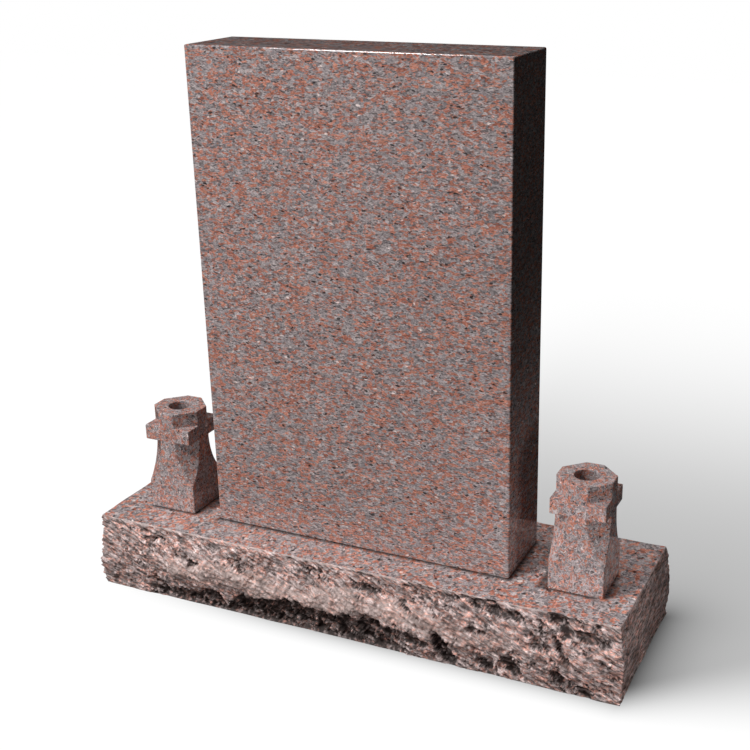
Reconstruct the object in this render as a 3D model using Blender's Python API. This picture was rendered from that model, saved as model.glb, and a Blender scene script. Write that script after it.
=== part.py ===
# Upright granite headstone: a polished tablet and two cross-sided flower vases on a rock-pitched base.
# Metres, +Z up. The origin is under the middle of the base, and the tablet's face looks along -Y.

import math
from collections import namedtuple

import bmesh
import bpy
from mathutils import Matrix, Vector, noise

INCH = 0.0254

# Seed of the rock face. Without it, noise vectors would differ from run to run.
ROCK_SEED = 1796122837

# Tablet
TABLET_WIDTH = 24 * INCH
TABLET_THICKNESS = 6 * INCH
TABLET_HEIGHT = 36 * INCH
TABLET_ARRIS = 0.003

# Base: the margins are what shows of its top beside the tablet and in front of it.
BASE_END_MARGIN = 9 * INCH
BASE_FACE_MARGIN = 3 * INCH
BASE_HEIGHT = 6 * INCH

# Vases
VASE_SIDE = 4 * INCH
VASE_HEIGHT = 0.208
VASE_PLINTH_HEIGHT = 0.056
ARM_UNDERSIDE = 0.1475
ARM_DEPTH = 0.030
CORNER_CUT = 0.0345
VASE_ARRIS = 0.0012
FLARE_STEPS = 9
LEFT_VASE_GAP = 0.058
RIGHT_VASE_GAP = 0.074
VASE_PROUD = 0.0025
FLOWER_HOLE_RADIUS = 0.0225
FLOWER_HOLE_DEPTH = 0.100
FLOWER_HOLE_SIDES = 36
FLOWER_HOLE_EASE = 0.001
DRILL_CLEARANCE = 0.010

# Joint between a stone and what it stands on
SEAT_GAP = 0.0003

# Rock face of the base. The values in brackets are for the front, the right end, the back and the left end.
SIDE_BULGES = (0.015, 0.011, 0.019, 0.013)
SIDE_SCARS = (1.0, 0.35, 1.0, 0.7)
SIDE_FEET = (5.0, 6.0, 5.0, 1.6)
BULGE_PEAK = 0.45
BULGE_VARIATION = 0.35
BULGE_WAVE = 0.22
PITCH_LINE_WANDER = 0.0015
SCAR_DEPTH = 0.009
SCAR_SIZE = 0.110
SMALL_SCAR_DEPTH = 0.004
SMALL_SCAR_SIZE = 0.046
SCAR_LEAN = math.radians(33)
SCAR_STRETCH = 2.0
SCAR_RIM = 0.8
SCAR_FADE = 0.045
SMALL_SCAR_FADE = 0.018
UNDERSIDE_FADE = 0.018
WARP = 0.014
WARP_WAVE = 0.045
SMALL_WARP = 0.007
SMALL_WARP_WAVE = 0.017
HOLLOW_WARP_SHARE = 0.5
CORNER_BLEND = 0.045
FRONT_STEPS = 84
BACK_STEPS = 56
END_STEPS = 24
FACE_ROWS = 14

# The long ridge across the front
RIDGE_OUT = 0.013
RIDGE_HEIGHT = 0.078
RIDGE_WANDER = 0.012
RIDGE_WAVE = 0.160
RIDGE_START = -0.50
RIDGE_FADE = 0.20
RIDGE_END_SHARE = 0.4
RIDGE_ABOVE = 0.064
RIDGE_BELOW = 0.055

# The overhang along the lower front: its lip rises from the left and ends right of the middle.
LIP_LOW = 0.020
LIP_RISE = 0.042
LIP_START = -0.44
LIP_TOP = -0.06
LIP_END = 0.15
LIP_FADE = 0.06
LIP_WAVE = 0.085
LIP_WANDER = 0.012
LIP_TURN = 0.009
LIP_STEPS = 0.012
LIP_STEP_LENGTH = 0.040
LIP_STEP_WIDTH = 0.012
UNDERCUT = 0.024
UNDERCUT_START_SHARE = 0.4
RIB_LEAN = math.radians(30)
RIB_PITCH = 0.038
RIB_WAVE = 0.080
RIB_WANDER = 2.5
RIB_EDGE = 0.2
RIB_TURN = 0.6
RIB_SHARE = 0.75
RIB_START = -0.16
RIB_FADE = 0.10
FOOT_RISE = 0.003
FRONT_MARGIN = 0.030

BASE_LENGTH = TABLET_WIDTH + 2 * BASE_END_MARGIN
BASE_DEPTH = TABLET_THICKNESS + 2 * BASE_FACE_MARGIN

# A hollow in the front face: where its middle is, along the face from the centre and above the underside.
Hollow = namedtuple("Hollow", "along height half_width half_height depth lean")

FRONT_HOLLOWS = (
    Hollow(0.214, 0.030, 0.026, 0.032, 0.026, 1.10),
    Hollow(0.343, 0.029, 0.026, 0.018, 0.016, 0.60),
    Hollow(0.436, 0.031, 0.022, 0.018, 0.016, 0.50),
    Hollow(0.290, 0.016, 0.016, 0.012, 0.009, 0.50),
    Hollow(0.475, 0.014, 0.016, 0.013, 0.009, 0.50),
    Hollow(0.395, 0.087, 0.026, 0.010, 0.009, 0.15),
    Hollow(0.310, 0.134, 0.072, 0.015, 0.010, 0.12),
    Hollow(0.430, 0.134, 0.026, 0.018, 0.011, 0.60),
    Hollow(0.502, 0.118, 0.050, 0.012, 0.012, 0.15),
    Hollow(0.155, 0.044, 0.030, 0.012, 0.009, 0.20),
)


def clear_scene():
    """Remove every object that the file opened with."""
    for leftover in list(bpy.data.objects):
        bpy.data.objects.remove(leftover, do_unlink=True)


def granite(name, color, roughness):
    """A plain granite finish."""
    material = bpy.data.materials.new(name)
    material.use_nodes = True
    shader = material.node_tree.nodes["Principled BSDF"]
    shader.inputs["Base Color"].default_value = (*color, 1.0)
    shader.inputs["Roughness"].default_value = roughness
    shader.inputs["Metallic"].default_value = 0.0
    return material


def new_object(name, mesh_builder, material):
    """Link an object whose mesh is a finished bmesh."""
    mesh = bpy.data.meshes.new(name)
    mesh_builder.to_mesh(mesh)
    mesh_builder.free()
    mesh.materials.append(material)
    stone = bpy.data.objects.new(name, mesh)
    bpy.context.scene.collection.objects.link(stone)
    return stone


def ease_arrises(stone, width, segments):
    """Round the sharp edges of a sawn stone."""
    bevel = stone.modifiers.new("arris", "BEVEL")
    bevel.width = width
    bevel.segments = segments
    bevel.limit_method = "ANGLE"
    bevel.angle_limit = math.radians(30)


def smoothstep(share):
    """Ease from 0 to 1 as share goes from 0 to 1."""
    share = min(max(share, 0.0), 1.0)
    return share * share * (3 - 2 * share)


# Tablet


def make_tablet(material):
    """The polished slab, standing on the middle of the base."""
    builder = bmesh.new()
    bmesh.ops.create_cube(builder, size=1.0)
    size = Vector((TABLET_WIDTH, TABLET_THICKNESS, TABLET_HEIGHT))
    bmesh.ops.scale(builder, vec=size, verts=builder.verts)
    tablet = new_object("tablet", builder, material)
    tablet.location.z = BASE_HEIGHT + SEAT_GAP + TABLET_HEIGHT / 2
    ease_arrises(tablet, TABLET_ARRIS, 2)
    return tablet


# Vases


def flare_cut(height):
    """How much of each corner is cut away along a face, between the plinth and the arms.

    The cut's edge is an arc, upright under the arms, that runs out at the corner on top of the plinth.
    """
    span = ARM_UNDERSIDE - VASE_PLINTH_HEIGHT
    radius = (span**2 + CORNER_CUT**2) / (2 * CORNER_CUT)
    below_arms = ARM_UNDERSIDE - height
    return CORNER_CUT - radius + math.sqrt(radius**2 - below_arms**2)


def flare_heights():
    """Heights of the points along the flare, from the plinth's top to the arms' underside."""
    span = ARM_UNDERSIDE - VASE_PLINTH_HEIGHT
    return [VASE_PLINTH_HEIGHT + span * step / FLARE_STEPS for step in range(FLARE_STEPS + 1)]


def cross_outline():
    """One face of a vase: a cross with a flared foot, as (across, height) pairs, anticlockwise."""
    half = VASE_SIDE / 2
    arm_top = ARM_UNDERSIDE + ARM_DEPTH
    right = [(half, 0.0)]
    right += [(half - flare_cut(height), height) for height in flare_heights()]
    right += [(half, ARM_UNDERSIDE), (half, arm_top)]
    right += [(half - CORNER_CUT, arm_top), (half - CORNER_CUT, VASE_HEIGHT)]
    left = [(-across, height) for across, height in reversed(right)]
    return right + left


def corner_faces():
    """The cut-away corner between the front and the right side, as lists of points facing outwards."""
    half = VASE_SIDE / 2
    arm_top = ARM_UNDERSIDE + ARM_DEPTH

    def front_edge(cut, height):
        return (half - cut, -half, height)

    def side_edge(cut, height):
        return (half, cut - half, height)

    faces = []
    heights = flare_heights()
    for low, high in zip(heights, heights[1:]):
        cut_low, cut_high = flare_cut(low), flare_cut(high)
        face = [front_edge(cut_low, low), side_edge(cut_low, low)]
        face += [side_edge(cut_high, high), front_edge(cut_high, high)]
        faces.append(face)
    corner_low, corner_high = (half, -half, ARM_UNDERSIDE), (half, -half, arm_top)
    faces.append([front_edge(CORNER_CUT, ARM_UNDERSIDE), side_edge(CORNER_CUT, ARM_UNDERSIDE), corner_low])
    faces.append([front_edge(CORNER_CUT, arm_top), corner_high, side_edge(CORNER_CUT, arm_top)])
    head = [front_edge(CORNER_CUT, arm_top), side_edge(CORNER_CUT, arm_top)]
    head += [side_edge(CORNER_CUT, VASE_HEIGHT), front_edge(CORNER_CUT, VASE_HEIGHT)]
    faces.append(head)
    return faces


def add_faces(builder, faces):
    """Add each list of points as one face, leaving out points that repeat the one before."""
    for points in faces:
        kept = []
        for point in points:
            if not kept or (Vector(point) - Vector(kept[-1])).length > 1e-6:
                kept.append(point)
        if (Vector(kept[0]) - Vector(kept[-1])).length < 1e-6:
            kept.pop()
        builder.faces.new([builder.verts.new(point) for point in kept])


def vase_block():
    """The vase's outside, before its flower hole is drilled."""
    half = VASE_SIDE / 2
    builder = bmesh.new()
    front = [(across, -half, height) for across, height in cross_outline()]
    quarter = [front] + corner_faces()
    for turn in range(4):
        spin = Matrix.Rotation(turn * math.pi / 2, 3, "Z")
        add_faces(builder, [[spin @ Vector(point) for point in face] for face in quarter])
    add_faces(builder, [[(-half, -half, 0), (-half, half, 0), (half, half, 0), (half, -half, 0)]])
    inner = half - CORNER_CUT
    rim = []
    for turn in range(4):
        spin = Matrix.Rotation(turn * math.pi / 2, 3, "Z")
        rim += [spin @ Vector((-inner, -half, VASE_HEIGHT)), spin @ Vector((inner, -half, VASE_HEIGHT))]
    add_faces(builder, [rim])
    bmesh.ops.remove_doubles(builder, verts=builder.verts, dist=1e-5)
    return builder


def hole_cutter(vase):
    """The drill for a vase's flower hole, with an eased mouth, parented to the vase."""
    builder = bmesh.new()
    profile = [
        (FLOWER_HOLE_RADIUS, VASE_HEIGHT - FLOWER_HOLE_DEPTH),
        (FLOWER_HOLE_RADIUS, VASE_HEIGHT - FLOWER_HOLE_EASE),
        (FLOWER_HOLE_RADIUS + FLOWER_HOLE_EASE + DRILL_CLEARANCE, VASE_HEIGHT + DRILL_CLEARANCE),
    ]
    rings = []
    for radius, height in profile:
        ring = []
        for side in range(FLOWER_HOLE_SIDES):
            angle = 2 * math.pi * side / FLOWER_HOLE_SIDES
            ring.append(builder.verts.new((radius * math.cos(angle), radius * math.sin(angle), height)))
        rings.append(ring)
    for low, high in zip(rings, rings[1:]):
        for side in range(FLOWER_HOLE_SIDES):
            after = (side + 1) % FLOWER_HOLE_SIDES
            builder.faces.new((low[side], low[after], high[after], high[side]))
    builder.faces.new(list(reversed(rings[0])))
    builder.faces.new(rings[-1])
    mesh = bpy.data.meshes.new("drill")
    builder.to_mesh(mesh)
    builder.free()
    drill = bpy.data.objects.new("drill_" + vase.name, mesh)
    bpy.context.scene.collection.objects.link(drill)
    drill.parent = vase
    drill.display_type = "WIRE"
    drill.hide_render = True
    return drill


def make_vase(name, across, material):
    """A flower vase with a cross on each of its four sides, its middle at the given place across the base."""
    vase = new_object(name, vase_block(), material)
    front = -TABLET_THICKNESS / 2 - VASE_PROUD
    vase.location = (across, front + VASE_SIDE / 2, BASE_HEIGHT + SEAT_GAP)
    ease_arrises(vase, VASE_ARRIS, 1)
    drilling = vase.modifiers.new("flower hole", "BOOLEAN")
    drilling.operation = "DIFFERENCE"
    drilling.solver = "EXACT"
    drilling.object = hole_cutter(vase)
    return vase


# Base


def leaning(point, lean):
    """A point's place along and across lines that run down to the right at an angle on the front."""
    along = point.x * math.cos(lean) - point.z * math.sin(lean)
    across = point.x * math.sin(lean) + point.z * math.cos(lean)
    return along, across


def bulge_share(height, foot):
    """Share of the full bulge at a height: it swells below the pitch line and turns in again at the foot."""
    drop = min(max(1 - height / BASE_HEIGHT, 0.0), 1.0)
    if drop < BULGE_PEAK:
        return math.sin(math.pi / 2 * drop / BULGE_PEAK)
    return math.sqrt(max(0.0, 1 - ((drop - BULGE_PEAK) / (1 - BULGE_PEAK)) ** foot))


def scar_share(point, size):
    """How deep a point lies in the chip scars: 1 in a scar's middle, near 0 on the ridges between scars."""
    along, across = leaning(point, SCAR_LEAN)
    distances, _ = noise.voronoi(Vector((along / SCAR_STRETCH, point.y / SCAR_STRETCH, across)) / size)
    return max(0.0, 1 - (distances[0] / SCAR_RIM) ** 2)


def hollow_depth(point):
    """Depth of the front face's own hollows at a point."""
    deepest = 0.0
    for hollow in FRONT_HOLLOWS:
        along = (point.x - hollow.along) / hollow.half_width
        up = (point.z - hollow.height + hollow.lean * (point.x - hollow.along)) / hollow.half_height
        inside = 1 - along**2 - up**2
        if inside > 0:
            deepest = max(deepest, hollow.depth * inside)
    return deepest


def between_ribs(point):
    """How fully a recess is cut at a point: least on the slanting ribs that are left standing in it."""
    along, across = leaning(point, RIB_LEAN)
    turn = 2 * math.pi * across / RIB_PITCH + RIB_WANDER * noise.noise(Vector((along, across, 0)) / RIB_WAVE)
    standing = smoothstep((math.cos(turn) - RIB_EDGE) / RIB_TURN) * smoothstep((point.x - RIB_START) / RIB_FADE)
    return 1 - RIB_SHARE * standing


def undercut_depth(point):
    """Depth of the recess under the long overhang."""
    rise = smoothstep((point.x - LIP_START) / (LIP_TOP - LIP_START))
    lip = LIP_LOW + LIP_RISE * rise + LIP_WANDER * noise.noise(Vector((point.x / LIP_WAVE, 0, 0)))
    along, across = leaning(point, RIB_LEAN)
    lip += LIP_STEPS * noise.noise(Vector((along / LIP_STEP_LENGTH, across / LIP_STEP_WIDTH, 0)))
    reach = smoothstep((point.x - LIP_START) / LIP_FADE) * smoothstep((LIP_END - point.x) / LIP_FADE)
    below = smoothstep((lip - point.z) / LIP_TURN)
    strength = UNDERCUT_START_SHARE + (1 - UNDERCUT_START_SHARE) * rise
    return UNDERCUT * reach * below * strength


def ridge_relief(point):
    """How far the long ridge across the front stands out."""
    crest = RIDGE_HEIGHT + RIDGE_WANDER * noise.noise(Vector((point.x / RIDGE_WAVE, 0, 0)))
    above = point.z - crest
    off = above / RIDGE_ABOVE if above > 0 else above / RIDGE_BELOW
    strength = smoothstep((point.x - RIDGE_START) / RIDGE_FADE)
    strength *= 1 - (1 - RIDGE_END_SHARE) * smoothstep(2 * point.x / BASE_LENGTH)
    return RIDGE_OUT * strength * max(0.0, 1 - off**2) ** 2


def rock_relief(point, bulge, foot, scars, front_share):
    """How far the rock face stands out of the block's plane at a point of that plane.

    scars and front_share are the shares that are left there of the chip scars and of the front's own forms.
    """
    recess = 0.0
    drop = BASE_HEIGHT - point.z
    swell = 1 + BULGE_VARIATION * noise.noise(point / BULGE_WAVE)
    relief = bulge * swell * bulge_share(point.z, foot) + PITCH_LINE_WANDER * noise.noise(point / WARP_WAVE)
    warped = point + WARP * noise.noise_vector(point / WARP_WAVE)
    warped += SMALL_WARP * noise.noise_vector(point / SMALL_WARP_WAVE)
    cuts = SCAR_DEPTH * scar_share(warped, SCAR_SIZE) * smoothstep(drop / SCAR_FADE)
    cuts += SMALL_SCAR_DEPTH * scar_share(warped, SMALL_SCAR_SIZE) * smoothstep(drop / SMALL_SCAR_FADE)
    cuts *= scars * smoothstep(point.z / UNDERSIDE_FADE)
    if front_share > 0:
        relief += front_share * ridge_relief(warped) * smoothstep(drop / SMALL_SCAR_FADE)
        recess = hollow_depth(point.lerp(warped, HOLLOW_WARP_SHARE)) + undercut_depth(warped) * between_ribs(point)
        recess *= front_share
    return relief - cuts - recess * smoothstep(point.z / FOOT_RISE)


def side_value(values, side, from_start, from_end):
    """A side's own value, easing at each corner to the mean of the two sides that meet there."""
    own = values[side]
    before, after = values[side - 1] - own, values[(side + 1) % len(values)] - own
    near_start = 1 - smoothstep(from_start / CORNER_BLEND)
    near_end = 1 - smoothstep(from_end / CORNER_BLEND)
    return own + (before * near_start + after * near_end) / 2


def perimeter():
    """Every station round the block, anticlockwise from the front left corner, as (side, along)."""
    stations = []
    steps = (FRONT_STEPS, END_STEPS, BACK_STEPS, END_STEPS)
    for side, count in enumerate(steps):
        stations += [(side, step / count) for step in range(count)]
    return stations


def rock_point(side, share, height):
    """The finished rock surface at a share of the way along a side."""
    half_length, half_depth = BASE_LENGTH / 2, BASE_DEPTH / 2
    corners = [
        Vector((-half_length, -half_depth, height)),
        Vector((half_length, -half_depth, height)),
        Vector((half_length, half_depth, height)),
        Vector((-half_length, half_depth, height)),
    ]
    start, end = corners[side], corners[(side + 1) % 4]
    run = (end - start).normalized()
    outward = Vector((run.y, -run.x, 0))
    length = (end - start).length
    point = start.lerp(end, share)
    from_start, from_end = share * length, (1 - share) * length
    bulge = side_value(SIDE_BULGES, side, from_start, from_end)
    foot = side_value(SIDE_FEET, side, from_start, from_end)
    scars = side_value(SIDE_SCARS, side, from_start, from_end)
    front_share = smoothstep(min(from_start, from_end) / FRONT_MARGIN) if side == 0 else 0.0
    pull = max(0.0, 1 - from_end / CORNER_BLEND) ** 2 - max(0.0, 1 - from_start / CORNER_BLEND) ** 2
    return point + (outward + run * pull) * rock_relief(point, bulge, foot, scars, front_share)


def make_base(material):
    """The base block: sawn top and underside, rock face on all four sides."""
    builder = bmesh.new()
    stations = perimeter()
    rings = []
    for row in range(FACE_ROWS + 1):
        height = BASE_HEIGHT * (1 - math.cos(math.pi * row / FACE_ROWS)) / 2
        rings.append([builder.verts.new(rock_point(side, share, height)) for side, share in stations])
    for low, high in zip(rings, rings[1:]):
        for index in range(len(stations)):
            after = (index + 1) % len(stations)
            builder.faces.new((low[index], low[after], high[after], high[index]))
    builder.faces.new(list(reversed(rings[0])))
    builder.faces.new(rings[-1])
    return new_object("base", builder, material)


def main():
    """Build the whole headstone."""
    clear_scene()
    noise.seed_set(ROCK_SEED)
    polished = granite("polished granite", (0.34, 0.21, 0.19), 0.15)
    pitched = granite("rock pitched granite", (0.38, 0.27, 0.25), 0.75)
    make_base(pitched)
    make_tablet(polished)
    beside_tablet = TABLET_WIDTH / 2 + VASE_SIDE / 2
    make_vase("vase_left", -beside_tablet - LEFT_VASE_GAP, polished)
    make_vase("vase_right", beside_tablet + RIGHT_VASE_GAP, polished)


main()
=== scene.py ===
# Looks of the upright granite headstone: polished tablet and flower vases on a rock-pitched base.
# Metres, +Z up. The origin is under the middle of the base, and the tablet's face looks along -Y.

import math
from collections import namedtuple

import bpy
from bpy.props import FloatProperty, FloatVectorProperty, IntProperty, PointerProperty
from mathutils import Matrix, Vector, noise


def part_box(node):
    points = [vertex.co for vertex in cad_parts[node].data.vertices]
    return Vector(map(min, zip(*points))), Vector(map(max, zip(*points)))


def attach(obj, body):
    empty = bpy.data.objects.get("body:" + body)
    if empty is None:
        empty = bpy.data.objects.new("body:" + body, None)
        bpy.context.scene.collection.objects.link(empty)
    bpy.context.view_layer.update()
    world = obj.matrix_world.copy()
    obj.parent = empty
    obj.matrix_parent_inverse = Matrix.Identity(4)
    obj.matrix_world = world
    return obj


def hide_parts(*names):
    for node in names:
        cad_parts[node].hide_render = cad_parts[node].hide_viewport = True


bl_info = {
    "name": "Upright Granite Headstone",
    "version": (1, 0, 0),
    "blender": (4, 5, 0),
    "location": "View3D > Sidebar > Headstone",
    "description": "Polished tablet, flower vases and rock-pitched base in red granite",
    "category": "Add Mesh",
}

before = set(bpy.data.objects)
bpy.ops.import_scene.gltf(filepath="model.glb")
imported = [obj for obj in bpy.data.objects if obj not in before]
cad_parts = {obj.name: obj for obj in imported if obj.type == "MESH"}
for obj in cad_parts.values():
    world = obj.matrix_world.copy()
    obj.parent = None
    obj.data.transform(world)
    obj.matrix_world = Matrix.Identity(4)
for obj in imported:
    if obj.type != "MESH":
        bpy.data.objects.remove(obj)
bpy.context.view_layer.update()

INCH = 0.0254
BODY = "root"
SHARP_ANGLE = math.radians(30)

# How far the sawn base reaches beyond the tablet at each end, and in front of it and behind it
END_MARGIN = 9 * INCH
FACE_MARGIN = 3 * INCH

# Places and sizes that the frame gives
TABLET_LOW, TABLET_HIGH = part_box("tablet")
TABLET_WIDTH = TABLET_HIGH.x - TABLET_LOW.x
TABLET_THICKNESS = TABLET_HIGH.y - TABLET_LOW.y
BASE_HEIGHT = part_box("base")[1].z
BASE_LENGTH = TABLET_WIDTH + 2 * END_MARGIN
BASE_DEPTH = TABLET_THICKNESS + 2 * FACE_MARGIN
VASE_NAMES = ("vase_left", "vase_right")
VASE_LOW, VASE_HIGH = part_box("vase_left")
VASE_SIDE = VASE_HIGH.x - VASE_LOW.x
VASE_HEIGHT = VASE_HIGH.z - VASE_LOW.z

# Vase profile above its foot
PLINTH_HEIGHT = 0.056
ARM_UNDERSIDE = 0.1475
ARM_DEPTH = 0.030
CORNER_CUT = 0.0345

# Seed of the rock face. Without it, noise vectors would differ from run to run.
ROCK_SEED = 1796122837

# Rock face of the base. The values in brackets are for the front, the right end, the back and the left end.
SIDE_BULGES = (0.015, 0.011, 0.019, 0.013)
SIDE_SCARS = (1.0, 0.35, 1.0, 0.7)
SIDE_CHIPS = (1.0, 0.12, 0.4, 0.15)
SIDE_FEET = (5.0, 6.0, 5.0, 1.6)
BULGE_PEAK = 0.45
BULGE_VARIATION = 0.35
BULGE_WAVE = 0.22
PITCH_LINE_WANDER = 0.0015
SCAR_DEPTH = 0.009
SCAR_SIZE = 0.110
SMALL_SCAR_DEPTH = 0.004
SMALL_SCAR_SIZE = 0.046
SCAR_LEAN = math.radians(33)
SCAR_STRETCH = 2.0
SCAR_RIM = 0.8
SCAR_FADE = 0.045
SMALL_SCAR_FADE = 0.018
UNDERSIDE_FADE = 0.018
WARP = 0.014
WARP_WAVE = 0.045
SMALL_WARP = 0.007
SMALL_WARP_WAVE = 0.017
HOLLOW_WARP_SHARE = 0.5
CORNER_BLEND = 0.045

# Chips: the width and slope of each layer as shares of the settings, and how far chips step up or down
CHIP_LAYERS = ((1.0, 0.6), (0.5, 1.3))
CHIP_STEP = 0.35
CHIP_BEND = 0.9
TOP_FADE = 2.0

# The long ridge across the front
RIDGE_OUT = 0.013
RIDGE_HEIGHT = 0.078
RIDGE_WANDER = 0.012
RIDGE_WAVE = 0.160
RIDGE_START = -0.50
RIDGE_FADE = 0.20
RIDGE_END_SHARE = 0.4
RIDGE_ABOVE = 0.064
RIDGE_BELOW = 0.055

# Cracks, with their lean and stretch against those of the chips
CRACK_LEAN = 1.5
CRACK_STRETCH = 3.4
CRACK_PATCH = 0.060
CRACK_EDGE = 0.67
CRACK_FULL = 0.74
OPEN_CRACKS = 0.17
RECESS_CRACKS = 0.25
SIDE_CRACKS = (1.0, 0.1, 0.6, 0.5)
CRACKS_LEFT = 0.1
CRACKS_START = -0.25
CRACKS_FADE = 0.6
CRACK_FREE_HALF = 0.025

# The overhang along the lower front: its lip rises from the left and ends right of the middle.
LIP_LOW = 0.020
LIP_RISE = 0.042
LIP_START = -0.44
LIP_TOP = -0.06
LIP_END = 0.15
LIP_FADE = 0.06
LIP_WAVE = 0.085
LIP_WANDER = 0.012
LIP_TURN = 0.009
LIP_STEPS = 0.012
LIP_STEP_LENGTH = 0.040
LIP_STEP_WIDTH = 0.012
UNDERCUT = 0.024
UNDERCUT_START_SHARE = 0.4
RIB_LEAN = math.radians(30)
RIB_PITCH = 0.038
RIB_WAVE = 0.080
RIB_WANDER = 2.5
RIB_EDGE = 0.2
RIB_TURN = 0.6
RIB_SHARE = 0.75
RIB_START = -0.16
RIB_FADE = 0.10
FOOT_RISE = 0.003
SMOOTH_RECESS = 0.5
FRONT_MARGIN = 0.030

# A hollow in the front face: where its middle is, along the face from the centre and above the underside.
Hollow = namedtuple("Hollow", "along height half_width half_height depth lean")

FRONT_HOLLOWS = (
    Hollow(0.214, 0.030, 0.026, 0.032, 0.026, 1.10),
    Hollow(0.343, 0.029, 0.026, 0.018, 0.016, 0.60),
    Hollow(0.436, 0.031, 0.022, 0.018, 0.016, 0.50),
    Hollow(0.290, 0.016, 0.016, 0.012, 0.009, 0.50),
    Hollow(0.475, 0.014, 0.016, 0.013, 0.009, 0.50),
    Hollow(0.395, 0.087, 0.026, 0.010, 0.009, 0.15),
    Hollow(0.437, 0.084, 0.020, 0.014, 0.008, 1.20),
    Hollow(0.272, 0.086, 0.024, 0.008, 0.007, 0.00),
    Hollow(0.310, 0.134, 0.072, 0.015, 0.010, 0.12),
    Hollow(0.430, 0.134, 0.026, 0.018, 0.011, 0.60),
    Hollow(0.502, 0.118, 0.050, 0.012, 0.012, 0.15),
    Hollow(0.525, 0.075, 0.024, 0.022, 0.004, 0.50),
    Hollow(0.155, 0.044, 0.030, 0.012, 0.009, 0.20),
    Hollow(0.145, 0.098, 0.055, 0.008, 0.006, 0.48),
    Hollow(0.065, 0.122, 0.050, 0.009, 0.004, 0.10),
    Hollow(-0.035, 0.122, 0.042, 0.014, 0.005, 0.25),
    Hollow(-0.215, 0.112, 0.042, 0.014, 0.004, 0.10),
    Hollow(-0.320, 0.100, 0.044, 0.012, 0.004, 0.40),
    Hollow(-0.405, 0.127, 0.028, 0.008, 0.008, -0.10),
    Hollow(-0.395, 0.027, 0.038, 0.012, 0.007, 0.80),
)

# Recess at which the rock's painted shade is as dark as in its deepest cracks
DARK_DEPTH = 0.0045

# Painted shade of uncracked rock in a recess as many dark depths deep
SUNK_DEPTHS = 3.0
SUNK_SHADE = 0.5

# Painted contact shade: a soft dark line painted on the base's top round what stands there
CONTACT_SHADE = 0.75
CONTACT_SHADE_REACH = 0.010
CONTACT_SHADE_COLOUR = (0.02, 0.016, 0.015, 1.0)

# Granite: its kinds of crystal, and for each finish the swirl of its grain and how much paler it is painted,
# as painted light
CRYSTAL_KINDS = ("Red", "Salmon", "Quartz", "Pale", "Smoky", "Mica", "Fleck")
GRANITE_IOR = 1.6
MICA_ROUGHNESS = 0.12
SWIRL = 0.8
TOP_PAINTED_GAIN = 1.2
VASE_PAINTED_GAIN = 1.15
VASE_GRAIN = (0.0050, 0.0055, 1.5)
ROCK_SWIRL = 0.6
NOISE_MIDDLE = (0.5, 0.5, 0.5)
BEND_WAVE = 1.6

# Broken granite. The streaks and patches are given by their width and stretch.
BROKEN_SHARE = 0.32
BROKEN_COLOUR = (0.62, 0.44, 0.40, 1.0)
ROCK_STREAKS = (0.0034, 4.0)
ROCK_PATCHES = (0.012, 4.5)
# Painted highlight on the ridge's crest
CREST_HIGHLIGHT_SHARE = 0.35
CREST_HIGHLIGHT_COLOUR = (0.70, 0.53, 0.48, 1.0)
BRUISE_SHARE = 0.45
BRUISE_COLOUR = (0.70, 0.58, 0.55, 1.0)
BRUISE_FOOT = 0.004
BRUISE_TOP = 0.001
BRUISE_WANDER = 0.002
# Painted shade in cracks and deep recesses
CRACK_SHADE_COLOUR = (0.030, 0.020, 0.018, 1.0)
GRIT_SIZE = 0.0022
GRIT_HEIGHT = 0.0012

# Points of a vase that are nearer than this are one, and faces nearer than this to its height are the top.
WELD_DISTANCE = 0.00002
LEVEL_TOLERANCE = 0.00005

# Camera, as solved from the corners of the stones in a square picture 750 pixels wide
PICTURE_WIDTH = 750
CAMERA_PLACE = Vector((0.9855, -1.9069, 1.2780))
CAMERA_AZIMUTH = math.radians(24.1422)
CAMERA_ELEVATION = math.radians(20.1387)
CAMERA_ROLL = math.radians(-0.6335)
FOCAL_PIXELS = 1236.83
VIEW_CENTRE = (435, 365)
SENSOR_WIDTH = 36.0

# Stage
FLOOR_HALF = 8.0
FLOOR_DROP = 0.0002
FLOOR_ROUGHNESS = 0.9
WHITE = (1.0, 1.0, 1.0, 1.0)
NEAR_SHADE = 0.42
NEAR_SHADE_REACH = 0.055
FAR_SHADE = 0.52
FAR_SHADE_REACH = 1.06
SHADE_LEFT = -0.60
SHADE_EDGE = -0.15
SHADE_EDGE_SOFTNESS = 0.13
SHADE_EDGE_SPREAD = 0.8
SHADE_EDGE_TURN = 0.55

# A square soft light: where it stands, what it looks at, its width, power and spread in degrees
Panel = namedtuple("Panel", "name place aim size power spread reflects")

PANELS = (
    Panel("main light", (-2.4, -3.0, 5.0), (0.0, 0.0, 0.4), 1.0, 285.0, 180, True),
    Panel("top light", (-0.8, -0.4, 7.6), (0.0, 0.0, 0.4), 2.6, 150.0, 180, True),
    Panel("front light", (-1.4, -4.2, 0.5), (0.0, 0.0, 0.4), 1.8, 96.0, 180, False),
    Panel("right fill", (4.5, -1.0, 1.5), (0.0, 0.0, 0.4), 2.0, 6.0, 180, False),
    Panel("right vase light", (0.45, -1.5, 0.35), (0.43, -0.08, 0.26), 0.3, 0.10, 25, False),
    Panel("left light", (-1.9, -0.9, 1.2), (0.0, 0.0, 0.4), 0.8, 9.0, 180, False),
    Panel("low right light", (1.25, -0.50, 0.10), (0.50, -0.02, 0.14), 0.3, 0.24, 50, False),
    Panel("low back light", (0.25, 1.0, 0.75), (0.50, 0.05, 0.15), 0.4, 1.0, 60, False),
    Panel("back light", (0.3, 2.6, 2.4), (0.0, 0.0, 0.4), 1.2, 6.0, 180, False),
)


# Settings that a user would change


def length_setting(name, description, default):
    """A setting that is a length."""
    return FloatProperty(name=name, description=description, default=default, unit="LENGTH")


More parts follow.
